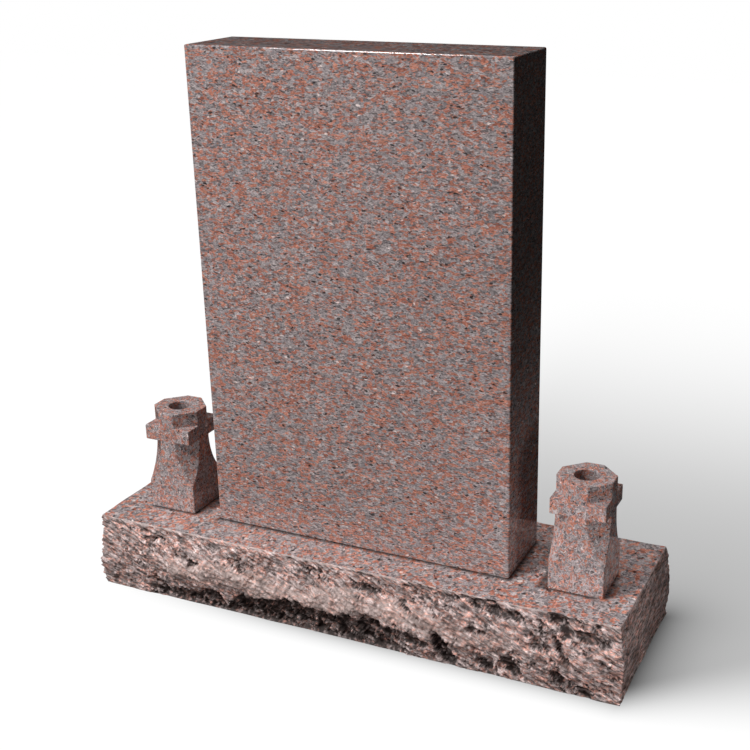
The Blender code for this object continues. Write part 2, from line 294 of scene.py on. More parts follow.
def number_setting(name, description, default, subtype="NONE"):
    """A setting that is a plain number or a factor."""
    return FloatProperty(name=name, description=description, default=default, subtype=subtype)


def count_setting(name, description, default, least):
    """A setting that is a whole number."""
    return IntProperty(name=name, description=description, default=default, min=least)


def colour_setting(name, description, default):
    """A setting that is a colour."""
    return FloatVectorProperty(name=name, description=description, default=default, subtype="COLOR")


class TabletSettings(bpy.types.PropertyGroup):
    """Sizes of the tablet that the looks add."""

    arris: length_setting("Arris", "Radius of the eased edges of the tablet", 0.003)
    arris_steps: count_setting("Arris Steps", "Faces round each eased edge", 4, 1)


class VaseSettings(bpy.types.PropertyGroup):
    """Sizes of the flower vases that the looks add."""

    arris: length_setting("Arris", "Radius of the eased edges of a vase", 0.0016)
    arris_steps: count_setting("Arris Steps", "Faces round each eased edge", 3, 1)
    flare_steps: count_setting("Flare Steps", "Faces along the curved part of each cut-away corner", 24, 3)
    hole_radius: length_setting("Hole Radius", "Radius of the drilled flower hole", 0.0225)
    hole_depth: length_setting("Hole Depth", "Depth of the drilled flower hole", 0.100)
    hole_sides: count_setting("Hole Sides", "Faces round the flower hole", 64, 12)


class BaseSettings(bpy.types.PropertyGroup):
    """Fineness of the rock face and the depth of its broken surface."""

    long_steps: count_setting("Long Steps", "Steps along the front and the back", 600, 50)
    end_steps: count_setting("End Steps", "Steps along each end", 130, 20)
    rows: count_setting("Rows", "Rows of faces from the underside to the pitch line", 66, 10)
    chip_width: length_setting("Chip Width", "Width of the largest flat-faced chips across the grain", 0.0075)
    chip_slope: number_setting("Chip Slope", "How steeply the chips are tilted", 1.5)
    crack_width: length_setting("Crack Width", "Spacing of the cracks across the grain", 0.0056)
    crack_depth: length_setting("Crack Depth", "Depth of the cracks", 0.008)
    lean: FloatProperty(
        name="Lean",
        description="Angle at which the chips run down to the right on the front",
        default=math.radians(21),
        unit="ROTATION",
    )
    stretch: number_setting("Stretch", "Length of the chips as a multiple of their width", 5.0)
    edge_fade: length_setting("Edge Fade", "Height over which the crumbs fade out at the underside", 0.006)


class GraniteSettings(bpy.types.PropertyGroup):
    """Colours and crystal sizes of the red granite."""

    red: colour_setting("Red Feldspar", "Colour of the brick-red crystals", (0.34, 0.122, 0.086))
    salmon: colour_setting("Salmon Feldspar", "Colour of the paler red crystals", (0.48, 0.217, 0.158))
    quartz: colour_setting("Quartz", "Colour of the grey crystals", (0.215, 0.188, 0.195))
    pale: colour_setting("Pale Feldspar", "Colour of the palest crystals", (0.40, 0.345, 0.34))
    smoky: colour_setting("Smoky Quartz", "Colour of the dark grey crystals", (0.095, 0.080, 0.083))
    mica: colour_setting("Mica", "Colour of the black crystals", (0.022, 0.018, 0.018))
    fleck: colour_setting("Fleck", "Colour of the rare white flecks", (0.70, 0.60, 0.57))
    grain_length: length_setting("Grain Length", "Length of the crystals along the stone", 0.0085)
    grain_height: length_setting("Grain Height", "Height of the crystals across their length", 0.0040)
    polish: number_setting("Polish Roughness", "Roughness of the polished faces", 0.06, "FACTOR")
    broken: number_setting("Rock Roughness", "Roughness of the broken faces", 0.75, "FACTOR")


class StageSettings(bpy.types.PropertyGroup):
    """Floor and light."""

    floor_colour: colour_setting("Floor Colour", "Colour of the floor", (0.02, 0.02, 0.02))
    brightness: number_setting("Brightness", "Factor on the power of every light", 1.0)
    ambient: number_setting("Ambient", "Strength of the light from all round", 0.01)


# Help with meshes


def smoothstep(share):
    """Ease from 0 to 1 as share goes from 0 to 1."""
    share = min(max(share, 0.0), 1.0)
    return share * share * (3 - 2 * share)


def new_piece(name, points, faces, smooth=True):
    """Link an object made of points and faces."""
    mesh = bpy.data.meshes.new(name)
    mesh.from_pydata(points, [], faces)
    mesh.validate()
    mesh.polygons.foreach_set("use_smooth", [smooth] * len(mesh.polygons))
    piece = bpy.data.objects.new(name, mesh)
    bpy.context.scene.collection.objects.link(piece)
    return piece


def ease_arrises(piece, width, steps):
    """Round the sharp edges of a sawn and polished stone."""
    bevel = piece.modifiers.new("arris", "BEVEL")
    bevel.width = width
    bevel.segments = steps
    bevel.limit_method = "ANGLE"
    bevel.angle_limit = SHARP_ANGLE
    bevel.use_clamp_overlap = False
    bevel.harden_normals = True


def bake_shape(piece):
    """Turn a piece's modifiers into its plain mesh."""
    bpy.context.view_layer.update()
    depsgraph = bpy.context.evaluated_depsgraph_get()
    evaluated = piece.evaluated_get(depsgraph)
    finished = bpy.data.meshes.new_from_object(evaluated, preserve_all_data_layers=True, depsgraph=depsgraph)
    if not finished.polygons:
        raise RuntimeError("the shape of " + piece.name + " came out empty")
    rough = piece.data
    piece.modifiers.clear()
    piece.data = finished
    bpy.data.meshes.remove(rough)
    finished.name = piece.name


def dress(piece, node):
    """Put a finished piece in the place of a solid of the frame."""
    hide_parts(node)
    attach(piece, BODY)


# Help with node trees


def is_socket(value):
    """Tell a socket from a plain value."""
    return isinstance(value, bpy.types.NodeSocket)


def feed(tree, socket, value):
    """Link a socket to an input, or set the input to a plain value."""
    if is_socket(value):
        tree.links.new(value, socket)
    else:
        socket.default_value = value


def add_node(tree, kind, inputs=None, **options):
    """Add a node, set its options and feed its inputs, which are given by name or number."""
    node = tree.nodes.new(kind)
    for name, value in options.items():
        setattr(node, name, value)
    for key, value in (inputs or {}).items():
        feed(tree, node.inputs[key], value)
    return node


def calculate(tree, operation, first, second=0.0, third=0.0):
    """Work out a value from up to three others."""
    inputs = {0: first, 1: second, 2: third}
    return add_node(tree, "ShaderNodeMath", inputs, operation=operation).outputs[0]


def calculate_vector(tree, operation, first, second=(0.0, 0.0, 0.0)):
    """Work out a vector from two others."""
    inputs = {0: first, 1: second}
    return add_node(tree, "ShaderNodeVectorMath", inputs, operation=operation).outputs[0]


def scale_vector(tree, vector, factor):
    """Multiply a vector by a number."""
    inputs = {0: vector, "Scale": factor}
    return add_node(tree, "ShaderNodeVectorMath", inputs, operation="SCALE").outputs[0]


def vector_length(tree, vector):
    """The length of a vector."""
    return add_node(tree, "ShaderNodeVectorMath", {0: vector}, operation="LENGTH").outputs["Value"]


def combine(tree, x, y, z):
    """Make a vector from three numbers."""
    return add_node(tree, "ShaderNodeCombineXYZ", {0: x, 1: y, 2: z}).outputs[0]


def separate(tree, vector):
    """The three numbers in a vector."""
    return add_node(tree, "ShaderNodeSeparateXYZ", {0: vector}).outputs


def ramp(tree, value, low, high, start=0.0, end=1.0, smooth=True):
    """Ease from start to end as a value goes from low to high."""
    easing = "SMOOTHSTEP" if smooth else "LINEAR"
    inputs = {"Value": value, "From Min": low, "From Max": high, "To Min": start, "To Max": end}
    return add_node(tree, "ShaderNodeMapRange", inputs, interpolation_type=easing).outputs["Result"]


def mix_colour(tree, share, first, second, blend="MIX"):
    """Mix two colours."""
    node = add_node(tree, "ShaderNodeMix", {"Factor": share}, data_type="RGBA", blend_type=blend)
    colour_inputs = [socket for socket in node.inputs if socket.type == "RGBA"]
    feed(tree, colour_inputs[0], first)
    feed(tree, colour_inputs[1], second)
    return next(socket for socket in node.outputs if socket.type == "RGBA")


def shade_colour(tree, colour, factor):
    """Multiply a colour by a number."""
    grey = combine(tree, factor, factor, factor) if is_socket(factor) else rgba((factor, factor, factor))
    return mix_colour(tree, 1.0, colour, grey, blend="MULTIPLY")


def noise_texture(tree, vector, wave, detail=0.0, output="Fac"):
    """Smooth noise whose lumps are about one wave apart."""
    scale = calculate(tree, "DIVIDE", 1.0, wave) if is_socket(wave) else 1.0 / wave
    inputs = {"Vector": vector, "Scale": scale, "Detail": detail}
    return add_node(tree, "ShaderNodeTexNoise", inputs).outputs[output]


def bent_place(tree, place, width, reach):
    """A place moved to and fro as far as a reach, by noise with lumps somewhat wider than a width."""
    wave = calculate(tree, "MULTIPLY", width, BEND_WAVE)
    bend = noise_texture(tree, place, wave, detail=1.0, output="Color")
    bend = calculate_vector(tree, "SUBTRACT", bend, NOISE_MIDDLE)
    return calculate_vector(tree, "ADD", place, scale_vector(tree, bend, reach))


def cells(tree, unit):
    """Cells one unit across, each with its own place and colour."""
    return add_node(tree, "ShaderNodeTexVoronoi", {"Vector": unit, "Scale": 1.0}, feature="F1").outputs


def crystals(tree, unit):
    """Three random numbers for each crystal, in crystals one unit across."""
    return separate(tree, cells(tree, unit)["Color"])


def outside_rectangle(tree, offset, half):
    """How far a place lies beyond a level rectangle, as a vector, from its offset to the middle."""
    beyond = calculate_vector(tree, "SUBTRACT", calculate_vector(tree, "ABSOLUTE", offset), (*half, 1.0))
    return calculate_vector(tree, "MAXIMUM", beyond, (0.0, 0.0, 0.0))


def stored(tree, name, data_type="FLOAT"):
    """A value that the mesh holds at each point."""
    node = add_node(tree, "GeometryNodeInputNamedAttribute", {"Name": name}, data_type=data_type)
    return node.outputs["Attribute"]


def pass_on(tree, geometry, kind, inputs=None, **options):
    """Send geometry through a node, and give what comes out of it."""
    node = add_node(tree, kind, {"Geometry": geometry, **(inputs or {})}, **options)
    return node.outputs["Geometry"]


def new_tree(name, kind, inputs, outputs):
    """A node group with named inputs and outputs, as (tree, its inputs, its output node)."""
    tree = bpy.data.node_groups.new(name, kind)
    for label, socket_type, default in inputs:
        socket = tree.interface.new_socket(label, in_out="INPUT", socket_type=socket_type)
        if default is not None:
            socket.default_value = default
    for label, socket_type in outputs:
        tree.interface.new_socket(label, in_out="OUTPUT", socket_type=socket_type)
    given = tree.nodes.new("NodeGroupInput").outputs
    result = tree.nodes.new("NodeGroupOutput")
    return tree, given, result


def values_of(settings, labels):
    """The values of some settings, each under its label."""
    return {label: getattr(settings, label.lower().replace(" ", "_")) for label in labels}


def shape_with(piece, tree, values):
    """Add a Geometry Nodes modifier, and set its inputs through their sockets' identifiers."""
    modifier = piece.modifiers.new(tree.name, "NODES")
    modifier.node_group = tree
    identifiers = {
        item.name: item.identifier
        for item in tree.interface.items_tree
        if item.item_type == "SOCKET" and item.in_out == "INPUT"
    }
    for label, value in values.items():
        modifier[identifiers[label]] = value


# Granite


def rgba(colour):
    """A colour with full alpha."""
    return (*colour, 1.0)


def crystal_colours():
    """The colour of each kind of crystal."""
    settings = bpy.context.scene.headstone_granite
    return {kind: rgba(colour) for kind, colour in values_of(settings, CRYSTAL_KINDS).items()}


def granite_grain():
    """The crystals of red granite, built once and shared by every finish."""
    name = "granite grain"
    if name in bpy.data.node_groups:
        return bpy.data.node_groups[name]
    inputs = [
        ("Vector", "NodeSocketVector", None),
        ("Grain Length", "NodeSocketFloat", 0.0085),
        ("Grain Height", "NodeSocketFloat", 0.0040),
        ("Swirl", "NodeSocketFloat", 0.6),
        ("Patch Size", "NodeSocketFloat", 0.022),
    ]
    inputs += [(kind, "NodeSocketColor", colour) for kind, colour in crystal_colours().items()]
    outputs = (("Colour", "NodeSocketColor"), ("Mica Mask", "NodeSocketFloat"))
    tree, given, result = new_tree(name, "ShaderNodeTree", inputs, outputs)
    length, height = given["Grain Length"], given["Grain Height"]

    # The grain is bent so that no crystal edge is straight.
    reach = calculate(tree, "MULTIPLY", calculate(tree, "MULTIPLY", height, given["Swirl"]), 2.0)
    bent = bent_place(tree, given["Vector"], length, reach)
    crystal_size = combine(tree, length, length, height)
    unit = calculate_vector(tree, "DIVIDE", bent, crystal_size)

    # Large crystals, more of them red in some patches and more grey in others
    kind, shade, hue = crystals(tree, unit)
    patch = noise_texture(tree, given["Vector"], given["Patch Size"], detail=2.0)
    redness = calculate(tree, "ADD", kind, ramp(tree, patch, 0.3, 0.7, -0.25, 0.25, smooth=False))
    red = mix_colour(tree, hue, given["Red"], given["Salmon"])
    grey = mix_colour(tree, hue, given["Quartz"], given["Pale"])
    colour = mix_colour(tree, ramp(tree, redness, 0.46, 0.58), grey, red)

    # Small crystals between them: grey, smoky and, here and there, black mica or a white fleck
    small_unit = calculate_vector(tree, "MULTIPLY", unit, (1.7, 1.7, 2.3))
    small_kind, _, small_hue = crystals(tree, small_unit)
    small_grey = mix_colour(tree, small_hue, given["Quartz"], given["Pale"])
    colour = mix_colour(tree, ramp(tree, small_kind, 0.56, 0.62, 0.0, 0.8), colour, small_grey)
    colour = mix_colour(tree, ramp(tree, small_kind, 0.80, 0.86, 0.0, 0.75), colour, given["Smoky"])
    fleck_unit = calculate_vector(tree, "ADD", scale_vector(tree, unit, 1.5), (1.7, 8.2, 3.3))
    fleck_kind = crystals(tree, fleck_unit)[0]
    dark = ramp(tree, fleck_kind, 0.976, 0.986, 0.0, 0.85)
    colour = mix_colour(tree, dark, colour, given["Mica"])
    colour = mix_colour(tree, ramp(tree, fleck_kind, 0.006, 0.003, 0.0, 0.8), colour, given["Fleck"])

    # Each crystal has its own shade, and wisps run through them all.
    wisp_size = scale_vector(tree, crystal_size, 0.45)
    wisps = noise_texture(tree, calculate_vector(tree, "DIVIDE", bent, wisp_size), 1.0, detail=1.0)
    wisps = ramp(tree, wisps, 0.28, 0.72, 0.60, 1.40, smooth=False)
    shades = calculate(tree, "MULTIPLY", ramp(tree, shade, 0.0, 1.0, 0.80, 1.20, smooth=False), wisps)
    feed(tree, result.inputs["Colour"], shade_colour(tree, colour, shades))
    feed(tree, result.inputs["Mica Mask"], dark)
    return tree


def granite_material(name, roughness, grain_length, grain_height, swirl):
    """A granite finish without its colour, as (material, tree, grain node, shader, place on the stone)."""
    material = bpy.data.materials.new(name)
    material.use_nodes = True
    tree = material.node_tree
    shader = tree.nodes["Principled BSDF"]
    shader.inputs["IOR"].default_value = GRANITE_IOR
    shader.inputs["Roughness"].default_value = roughness
    place = add_node(tree, "ShaderNodeTexCoord").outputs["Object"]
    sizes = {"Grain Length": grain_length, "Grain Height": grain_height, "Swirl": swirl}
    inputs = {"Vector": place, **sizes, **crystal_colours()}
    grain = add_node(tree, "ShaderNodeGroup", inputs, node_tree=granite_grain())
    return material, tree, grain, shader, place


def footprint_distance(tree, place, middle, half):
    """Distance on the base's top from a rectangle that stands there, or from its mirror image on the left."""
    across, inwards, _ = separate(tree, place)
    mirrored = combine(tree, calculate(tree, "ABSOLUTE", across), inwards, 0.0)
    offset = calculate_vector(tree, "SUBTRACT", mirrored, (*middle, 0.0))
    return vector_length(tree, outside_rectangle(tree, offset, half))


def painted_contact_shade(tree, place):
    """How dark the base's top is painted, as contact shade in a soft line round everything that stands on it.
    """
    tablet = footprint_distance(tree, place, (0.0, 0.0), (TABLET_WIDTH / 2, TABLET_THICKNESS / 2))
    vase_middle = (abs(VASE_LOW.x + VASE_HIGH.x) / 2, (VASE_LOW.y + VASE_HIGH.y) / 2)
    vase = footprint_distance(tree, place, vase_middle, (VASE_SIDE / 2, VASE_SIDE / 2))
    nearest = calculate(tree, "MINIMUM", tablet, vase)
    return ramp(tree, nearest, 0.0, CONTACT_SHADE_REACH, CONTACT_SHADE, 0.0)


def polished_granite(name, grain_length, grain_height, swirl, painted_gain=1.0, paints_contact_shade=False):
    """Granite polished to a mirror, with crystals of a given size, made lighter or darker by a gain that
    paints light, and with painted contact shade round the stones it carries if asked.
    """
    polish = bpy.context.scene.headstone_granite.polish
    material, tree, grain, shader, place = granite_material(name, polish, grain_length, grain_height, swirl)
    # The gain paints light: a brighter copy of the same granite where a finish is lit more.
    colour = shade_colour(tree, grain.outputs["Colour"], painted_gain)
    # Painted contact shade round what stands on the stone
    if paints_contact_shade:
        colour = mix_colour(tree, painted_contact_shade(tree, place), colour, CONTACT_SHADE_COLOUR)
    feed(tree, shader.inputs["Base Color"], colour)
    rougher = polish + MICA_ROUGHNESS
    roughness = ramp(tree, grain.outputs["Mica Mask"], 0.0, 1.0, polish, rougher, smooth=False)
    feed(tree, shader.inputs["Roughness"], roughness)
    return material


def pitched_granite(name):
    """Granite broken with a pitching tool: paler, unpolished, bruised along the pitched edge, with painted
    shade in its cracks, recesses and streak grooves and a painted highlight on the ridge's crest.
    """
    stone = bpy.context.scene.headstone_granite
    lean = bpy.context.scene.headstone_base.lean
    sizes = (stone.grain_length, stone.grain_height, ROCK_SWIRL)
    material, tree, grain, shader, place = granite_material(name, stone.broken, *sizes)
    colour = mix_colour(tree, BROKEN_SHARE, grain.outputs["Colour"], BROKEN_COLOUR)

    # Streaks along the lean are painted darker in their grooves and lighter on their ridges, as painted shade
    # and highlight of the bump made from the same streaks. Broad patches are lighter or darker at random.
    streak, patches = (
        noise_texture(tree, along_lean(tree, place, lean, width, stretch), 1.0, detail=2.0)
        for width, stretch in (ROCK_STREAKS, ROCK_PATCHES)
    )
    shades = ramp(tree, streak, 0.34, 0.66, 0.26, 1.62, smooth=False)
    shades = calculate(tree, "MULTIPLY", shades, ramp(tree, patches, 0.34, 0.66, 0.62, 1.28))
    colour = shade_colour(tree, colour, shades)

    # The ridge's crest is painted pale as a highlight, and the pitched edge is bruised pale.
    crest = add_node(tree, "ShaderNodeAttribute", attribute_name="crest").outputs["Fac"]
    colour = mix_colour(tree, ramp(tree, crest, 0.3, 1.0, 0.0, CREST_HIGHLIGHT_SHARE), colour, CREST_HIGHLIGHT_COLOUR)
    wander = noise_texture(tree, place, 0.012, detail=2.0)
    wander = ramp(tree, wander, 0.3, 0.7, -BRUISE_WANDER, BRUISE_WANDER, smooth=False)
    edge = calculate(tree, "ADD", separate(tree, place)[2], wander)
    bruise = ramp(tree, edge, BASE_HEIGHT - BRUISE_FOOT, BASE_HEIGHT - BRUISE_TOP, 0.0, BRUISE_SHARE)
    colour = mix_colour(tree, bruise, colour, BRUISE_COLOUR)

    # Painted shade: cracks and deep recesses are painted dark, more where the streaks run low.
    shade = add_node(tree, "ShaderNodeAttribute", attribute_name="shade").outputs["Fac"]
    painted_shade_share = ramp(tree, streak, 0.42, 0.66, 0.97, 0.55)
    painted_shade_share = calculate(tree, "MULTIPLY", painted_shade_share, ramp(tree, shade, 0.15, 0.65))
    feed(tree, shader.inputs["Base Color"], mix_colour(tree, painted_shade_share, colour, CRACK_SHADE_COLOUR))

    # Grit on the broken crystals
    grit = calculate(tree, "MULTIPLY", noise_texture(tree, place, GRIT_SIZE, detail=3.0), 0.5)
    inputs = {"Strength": 0.6, "Distance": GRIT_HEIGHT, "Height": calculate(tree, "ADD", streak, grit)}
    feed(tree, shader.inputs["Normal"], add_node(tree, "ShaderNodeBump", inputs).outputs["Normal"])
    return material


# Tablet


class HEADSTONE_OT_tablet(bpy.types.Operator):
    """Make the polished tablet"""

    bl_idname = "headstone.add_tablet"
    bl_label = "Add Tablet"

    def execute(self, context):
        settings = context.scene.headstone_tablet
        stone = context.scene.headstone_granite
        low, high = TABLET_LOW, TABLET_HIGH
        corners = [(x, y, z) for z in (low.z, high.z) for y in (low.y, high.y) for x in (low.x, high.x)]
        faces = [(0, 2, 3, 1), (4, 5, 7, 6), (0, 1, 5, 4), (1, 3, 7, 5), (3, 2, 6, 7), (2, 0, 4, 6)]
        tablet = new_piece("polished_tablet", corners, faces)
        sizes = (stone.grain_length, stone.grain_height, SWIRL)
        material = polished_granite("polished granite tablet", *sizes)
        tablet.data.materials.append(material)
        ease_arrises(tablet, settings.arris, settings.arris_steps)
        bake_shape(tablet)
        dress(tablet, "tablet")
        return {"FINISHED"}


# Vases


def flare_cut(height):
    """How much of each corner is cut away along a face, between the plinth and the arms.

    The cut's edge is an arc, upright under the arms, that runs out at the corner on top of the plinth.
    """
    span = ARM_UNDERSIDE - PLINTH_HEIGHT
    radius = (span**2 + CORNER_CUT**2) / (2 * CORNER_CUT)
    below_arms = ARM_UNDERSIDE - height
    return CORNER_CUT - radius + math.sqrt(radius**2 - below_arms**2)


def vase_quarter(flare_steps):
    """The front face of a vase and its cut-away corner on the right, as lists of points facing outwards."""
    half = VASE_SIDE / 2
    inner = half - CORNER_CUT
    arm_top = ARM_UNDERSIDE + ARM_DEPTH
    span = ARM_UNDERSIDE - PLINTH_HEIGHT
    heights = [PLINTH_HEIGHT + span * step / flare_steps for step in range(flare_steps + 1)]
    right = [(half, 0.0)]
    right += [(half - flare_cut(height), height) for height in heights]
    right += [(half, ARM_UNDERSIDE), (half, arm_top), (inner, arm_top), (inner, VASE_HEIGHT)]
    outline = right + [(-across, height) for across, height in reversed(right)]
    faces = [[(across, -half, height) for across, height in outline]]

    def front_edge(cut, height):
        return (half - cut, -half, height)

    def side_edge(cut, height):
        return (half, cut - half, height)

    for low, high in zip(heights, heights[1:]):
        cut_low, cut_high = flare_cut(low), flare_cut(high)
        face = [front_edge(cut_low, low), side_edge(cut_low, low)]
        face += [side_edge(cut_high, high), front_edge(cut_high, high)]
        faces.append(face)
    underside = [front_edge(CORNER_CUT, ARM_UNDERSIDE), side_edge(CORNER_CUT, ARM_UNDERSIDE)]
    faces.append(underside + [(half, -half, ARM_UNDERSIDE)])
    arm = [front_edge(CORNER_CUT, arm_top), (half, -half, arm_top), side_edge(CORNER_CUT, arm_top)]
    faces.append(arm)
    head = [front_edge(CORNER_CUT, arm_top), side_edge(CORNER_CUT, arm_top)]
    head += [side_edge(CORNER_CUT, VASE_HEIGHT), front_edge(CORNER_CUT, VASE_HEIGHT)]
    faces.append(head)
    rim = [(0.0, 0.0, VASE_HEIGHT), (-inner, -half, VASE_HEIGHT)]
    rim += [front_edge(CORNER_CUT, VASE_HEIGHT), side_edge(CORNER_CUT, VASE_HEIGHT)]
    faces.append(rim)
    faces.append([(-half, -half, 0.0), (0.0, 0.0, 0.0), (half, -half, 0.0)])
    return faces


def welded(faces):
    """Points and faces of a mesh in which points that meet are one."""
    places, indexed = {}, []
    for face in faces:
        corner_numbers = []
        for point in face:
            key = tuple(round(value, 6) for value in point)
            number = places.setdefault(key, len(places))
            if number not in corner_numbers:
                corner_numbers.append(number)
        indexed.append(corner_numbers)
    return list(places), indexed


def vase_tree():
    """Geometry Nodes: turn a quarter of a vase into a whole one and drill its flower hole."""
    name = "four-sided vase"
    if name in bpy.data.node_groups:
        return bpy.data.node_groups[name]
    inputs = (
        ("Geometry", "NodeSocketGeometry", None),
        ("Sides", "NodeSocketInt", 4),
        ("Hole Radius", "NodeSocketFloat", 0.0225),
        ("Hole Depth", "NodeSocketFloat", 0.1),
        ("Hole Sides", "NodeSocketInt", 64),
        ("Vase Height", "NodeSocketFloat", 0.208),
        ("Vase Place", "NodeSocketVector", (0.0, 0.0, 0.0)),
        ("Finish", "NodeSocketMaterial", None),
    )
    tree, given, result = new_tree(name, "GeometryNodeTree", inputs, (("Geometry", "NodeSocketGeometry"),))

    # One point for each side, all at the vase's middle
    line = add_node(tree, "GeometryNodeMeshLine", {"Count": given["Sides"], "Offset": (0.0, 0.0, 0.0)})
    index = add_node(tree, "GeometryNodeInputIndex").outputs["Index"]
    turn = calculate(tree, "MULTIPLY", index, calculate(tree, "DIVIDE", 2 * math.pi, given["Sides"]))
    rotation = combine(tree, 0.0, 0.0, turn)
    inputs = {"Points": line.outputs["Mesh"], "Instance": given["Geometry"], "Rotation": rotation}
    sides = add_node(tree, "GeometryNodeInstanceOnPoints", inputs).outputs["Instances"]
    vase = pass_on(tree, sides, "GeometryNodeRealizeInstances")
    vase = pass_on(tree, vase, "GeometryNodeMergeByDistance", {"Distance": WELD_DISTANCE})

    # The drill stands in the top, as deep as the hole and as far above it.
    depth = calculate(tree, "MULTIPLY", given["Hole Depth"], 2.0)
    inputs = {"Vertices": given["Hole Sides"], "Radius": given["Hole Radius"], "Depth": depth}
    drill = add_node(tree, "GeometryNodeMeshCylinder", inputs).outputs["Mesh"]
    top = combine(tree, 0.0, 0.0, given["Vase Height"])
    drill = pass_on(tree, drill, "GeometryNodeTransform", {"Translation": top})
    inputs = {"Mesh 1": vase, "Mesh 2": drill}
    drilled = add_node(tree, "GeometryNodeMeshBoolean", inputs, operation="DIFFERENCE", solver="EXACT")
    place = {"Translation": given["Vase Place"]}
    vase = pass_on(tree, drilled.outputs["Mesh"], "GeometryNodeTransform", place)
    vase = pass_on(tree, vase, "GeometryNodeRealizeInstances")
    vase = pass_on(tree, vase, "GeometryNodeSetMaterial", {"Material": given["Finish"]})
    feed(tree, result.inputs["Geometry"], vase)
    return tree


class HEADSTONE_OT_vases(bpy.types.Operator):
    """Make both flower vases"""

    bl_idname = "headstone.add_vases"
    bl_label = "Add Vases"

    def execute(self, context):
        settings = context.scene.headstone_vase
        # The vases are a paler copy of the granite, painted light.
        material = polished_granite("polished granite vases", *VASE_GRAIN, painted_gain=VASE_PAINTED_GAIN)
        for name in VASE_NAMES:
            low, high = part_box(name)
            points, faces = welded(vase_quarter(settings.flare_steps))
            vase = new_piece("polished_" + name, points, faces)
            values = values_of(settings, ("Hole Radius", "Hole Depth", "Hole Sides"))
            values["Vase Height"] = VASE_HEIGHT
            values["Vase Place"] = ((low.x + high.x) / 2, (low.y + high.y) / 2, low.z)
            values["Finish"] = material
            shape_with(vase, vase_tree(), values)
            ease_arrises(vase, settings.arris, settings.arris_steps)
            bake_shape(vase)
            dress(vase, name)
        return {"FINISHED"}


# Base


def leaning(point, lean):
    """A point's place along and across lines that run down to the right at an angle on the front."""
    along = point.x * math.cos(lean) - point.z * math.sin(lean)
    across = point.x * math.sin(lean) + point.z * math.cos(lean)
    return along, across


def bulge_share(height, foot):
    """Share of the full bulge at a height: it swells below the pitch line and turns in again at the foot."""
    drop = min(max(1 - height / BASE_HEIGHT, 0.0), 1.0)
    if drop < BULGE_PEAK:
        return math.sin(math.pi / 2 * drop / BULGE_PEAK)
    return math.sqrt(max(0.0, 1 - ((drop - BULGE_PEAK) / (1 - BULGE_PEAK)) ** foot))


def scar_share(point, size):
    """How deep a point lies in the chip scars: 1 in a scar's middle, near 0 on the ridges between scars."""
    along, across = leaning(point, SCAR_LEAN)
    distances, _ = noise.voronoi(Vector((along / SCAR_STRETCH, point.y / SCAR_STRETCH, across)) / size)
    return max(0.0, 1 - (distances[0] / SCAR_RIM) ** 2)


def hollow_depth(point):
    """Depth of the front face's own hollows at a point."""
    deepest = 0.0
    for hollow in FRONT_HOLLOWS:
        along = (point.x - hollow.along) / hollow.half_width
        up = (point.z - hollow.height + hollow.lean * (point.x - hollow.along)) / hollow.half_height
        inside = 1 - along**2 - up**2
        if inside > 0:
            deepest = max(deepest, hollow.depth * inside)
    return deepest


def between_ribs(point):
    """How fully a recess is cut at a point: least on the slanting ribs that are left standing in it."""
    along, across = leaning(point, RIB_LEAN)
    turn = 2 * math.pi * across / RIB_PITCH + RIB_WANDER * noise.noise(Vector((along, across, 0)) / RIB_WAVE)
    standing = smoothstep((math.cos(turn) - RIB_EDGE) / RIB_TURN)
    standing *= smoothstep((point.x - RIB_START) / RIB_FADE)
    return 1 - RIB_SHARE * standing


def undercut_depth(point):
    """Depth of the recess under the long overhang."""
    rise = smoothstep((point.x - LIP_START) / (LIP_TOP - LIP_START))
    lip = LIP_LOW + LIP_RISE * rise + LIP_WANDER * noise.noise(Vector((point.x / LIP_WAVE, 0, 0)))
    along, across = leaning(point, RIB_LEAN)
    lip += LIP_STEPS * noise.noise(Vector((along / LIP_STEP_LENGTH, across / LIP_STEP_WIDTH, 0)))
    reach = smoothstep((point.x - LIP_START) / LIP_FADE) * smoothstep((LIP_END - point.x) / LIP_FADE)
    below = smoothstep((lip - point.z) / LIP_TURN)
    strength = UNDERCUT_START_SHARE + (1 - UNDERCUT_START_SHARE) * rise
    return UNDERCUT * reach * below * strength


def ridge_relief(point):
    """How far the long ridge across the front stands out."""
    crest = RIDGE_HEIGHT + RIDGE_WANDER * noise.noise(Vector((point.x / RIDGE_WAVE, 0, 0)))
    above = point.z - crest
    off = above / RIDGE_ABOVE if above > 0 else above / RIDGE_BELOW
    strength = smoothstep((point.x - RIDGE_START) / RIDGE_FADE)
    strength *= 1 - (1 - RIDGE_END_SHARE) * smoothstep(2 * point.x / BASE_LENGTH)
    return RIDGE_OUT * strength * max(0.0, 1 - off**2) ** 2


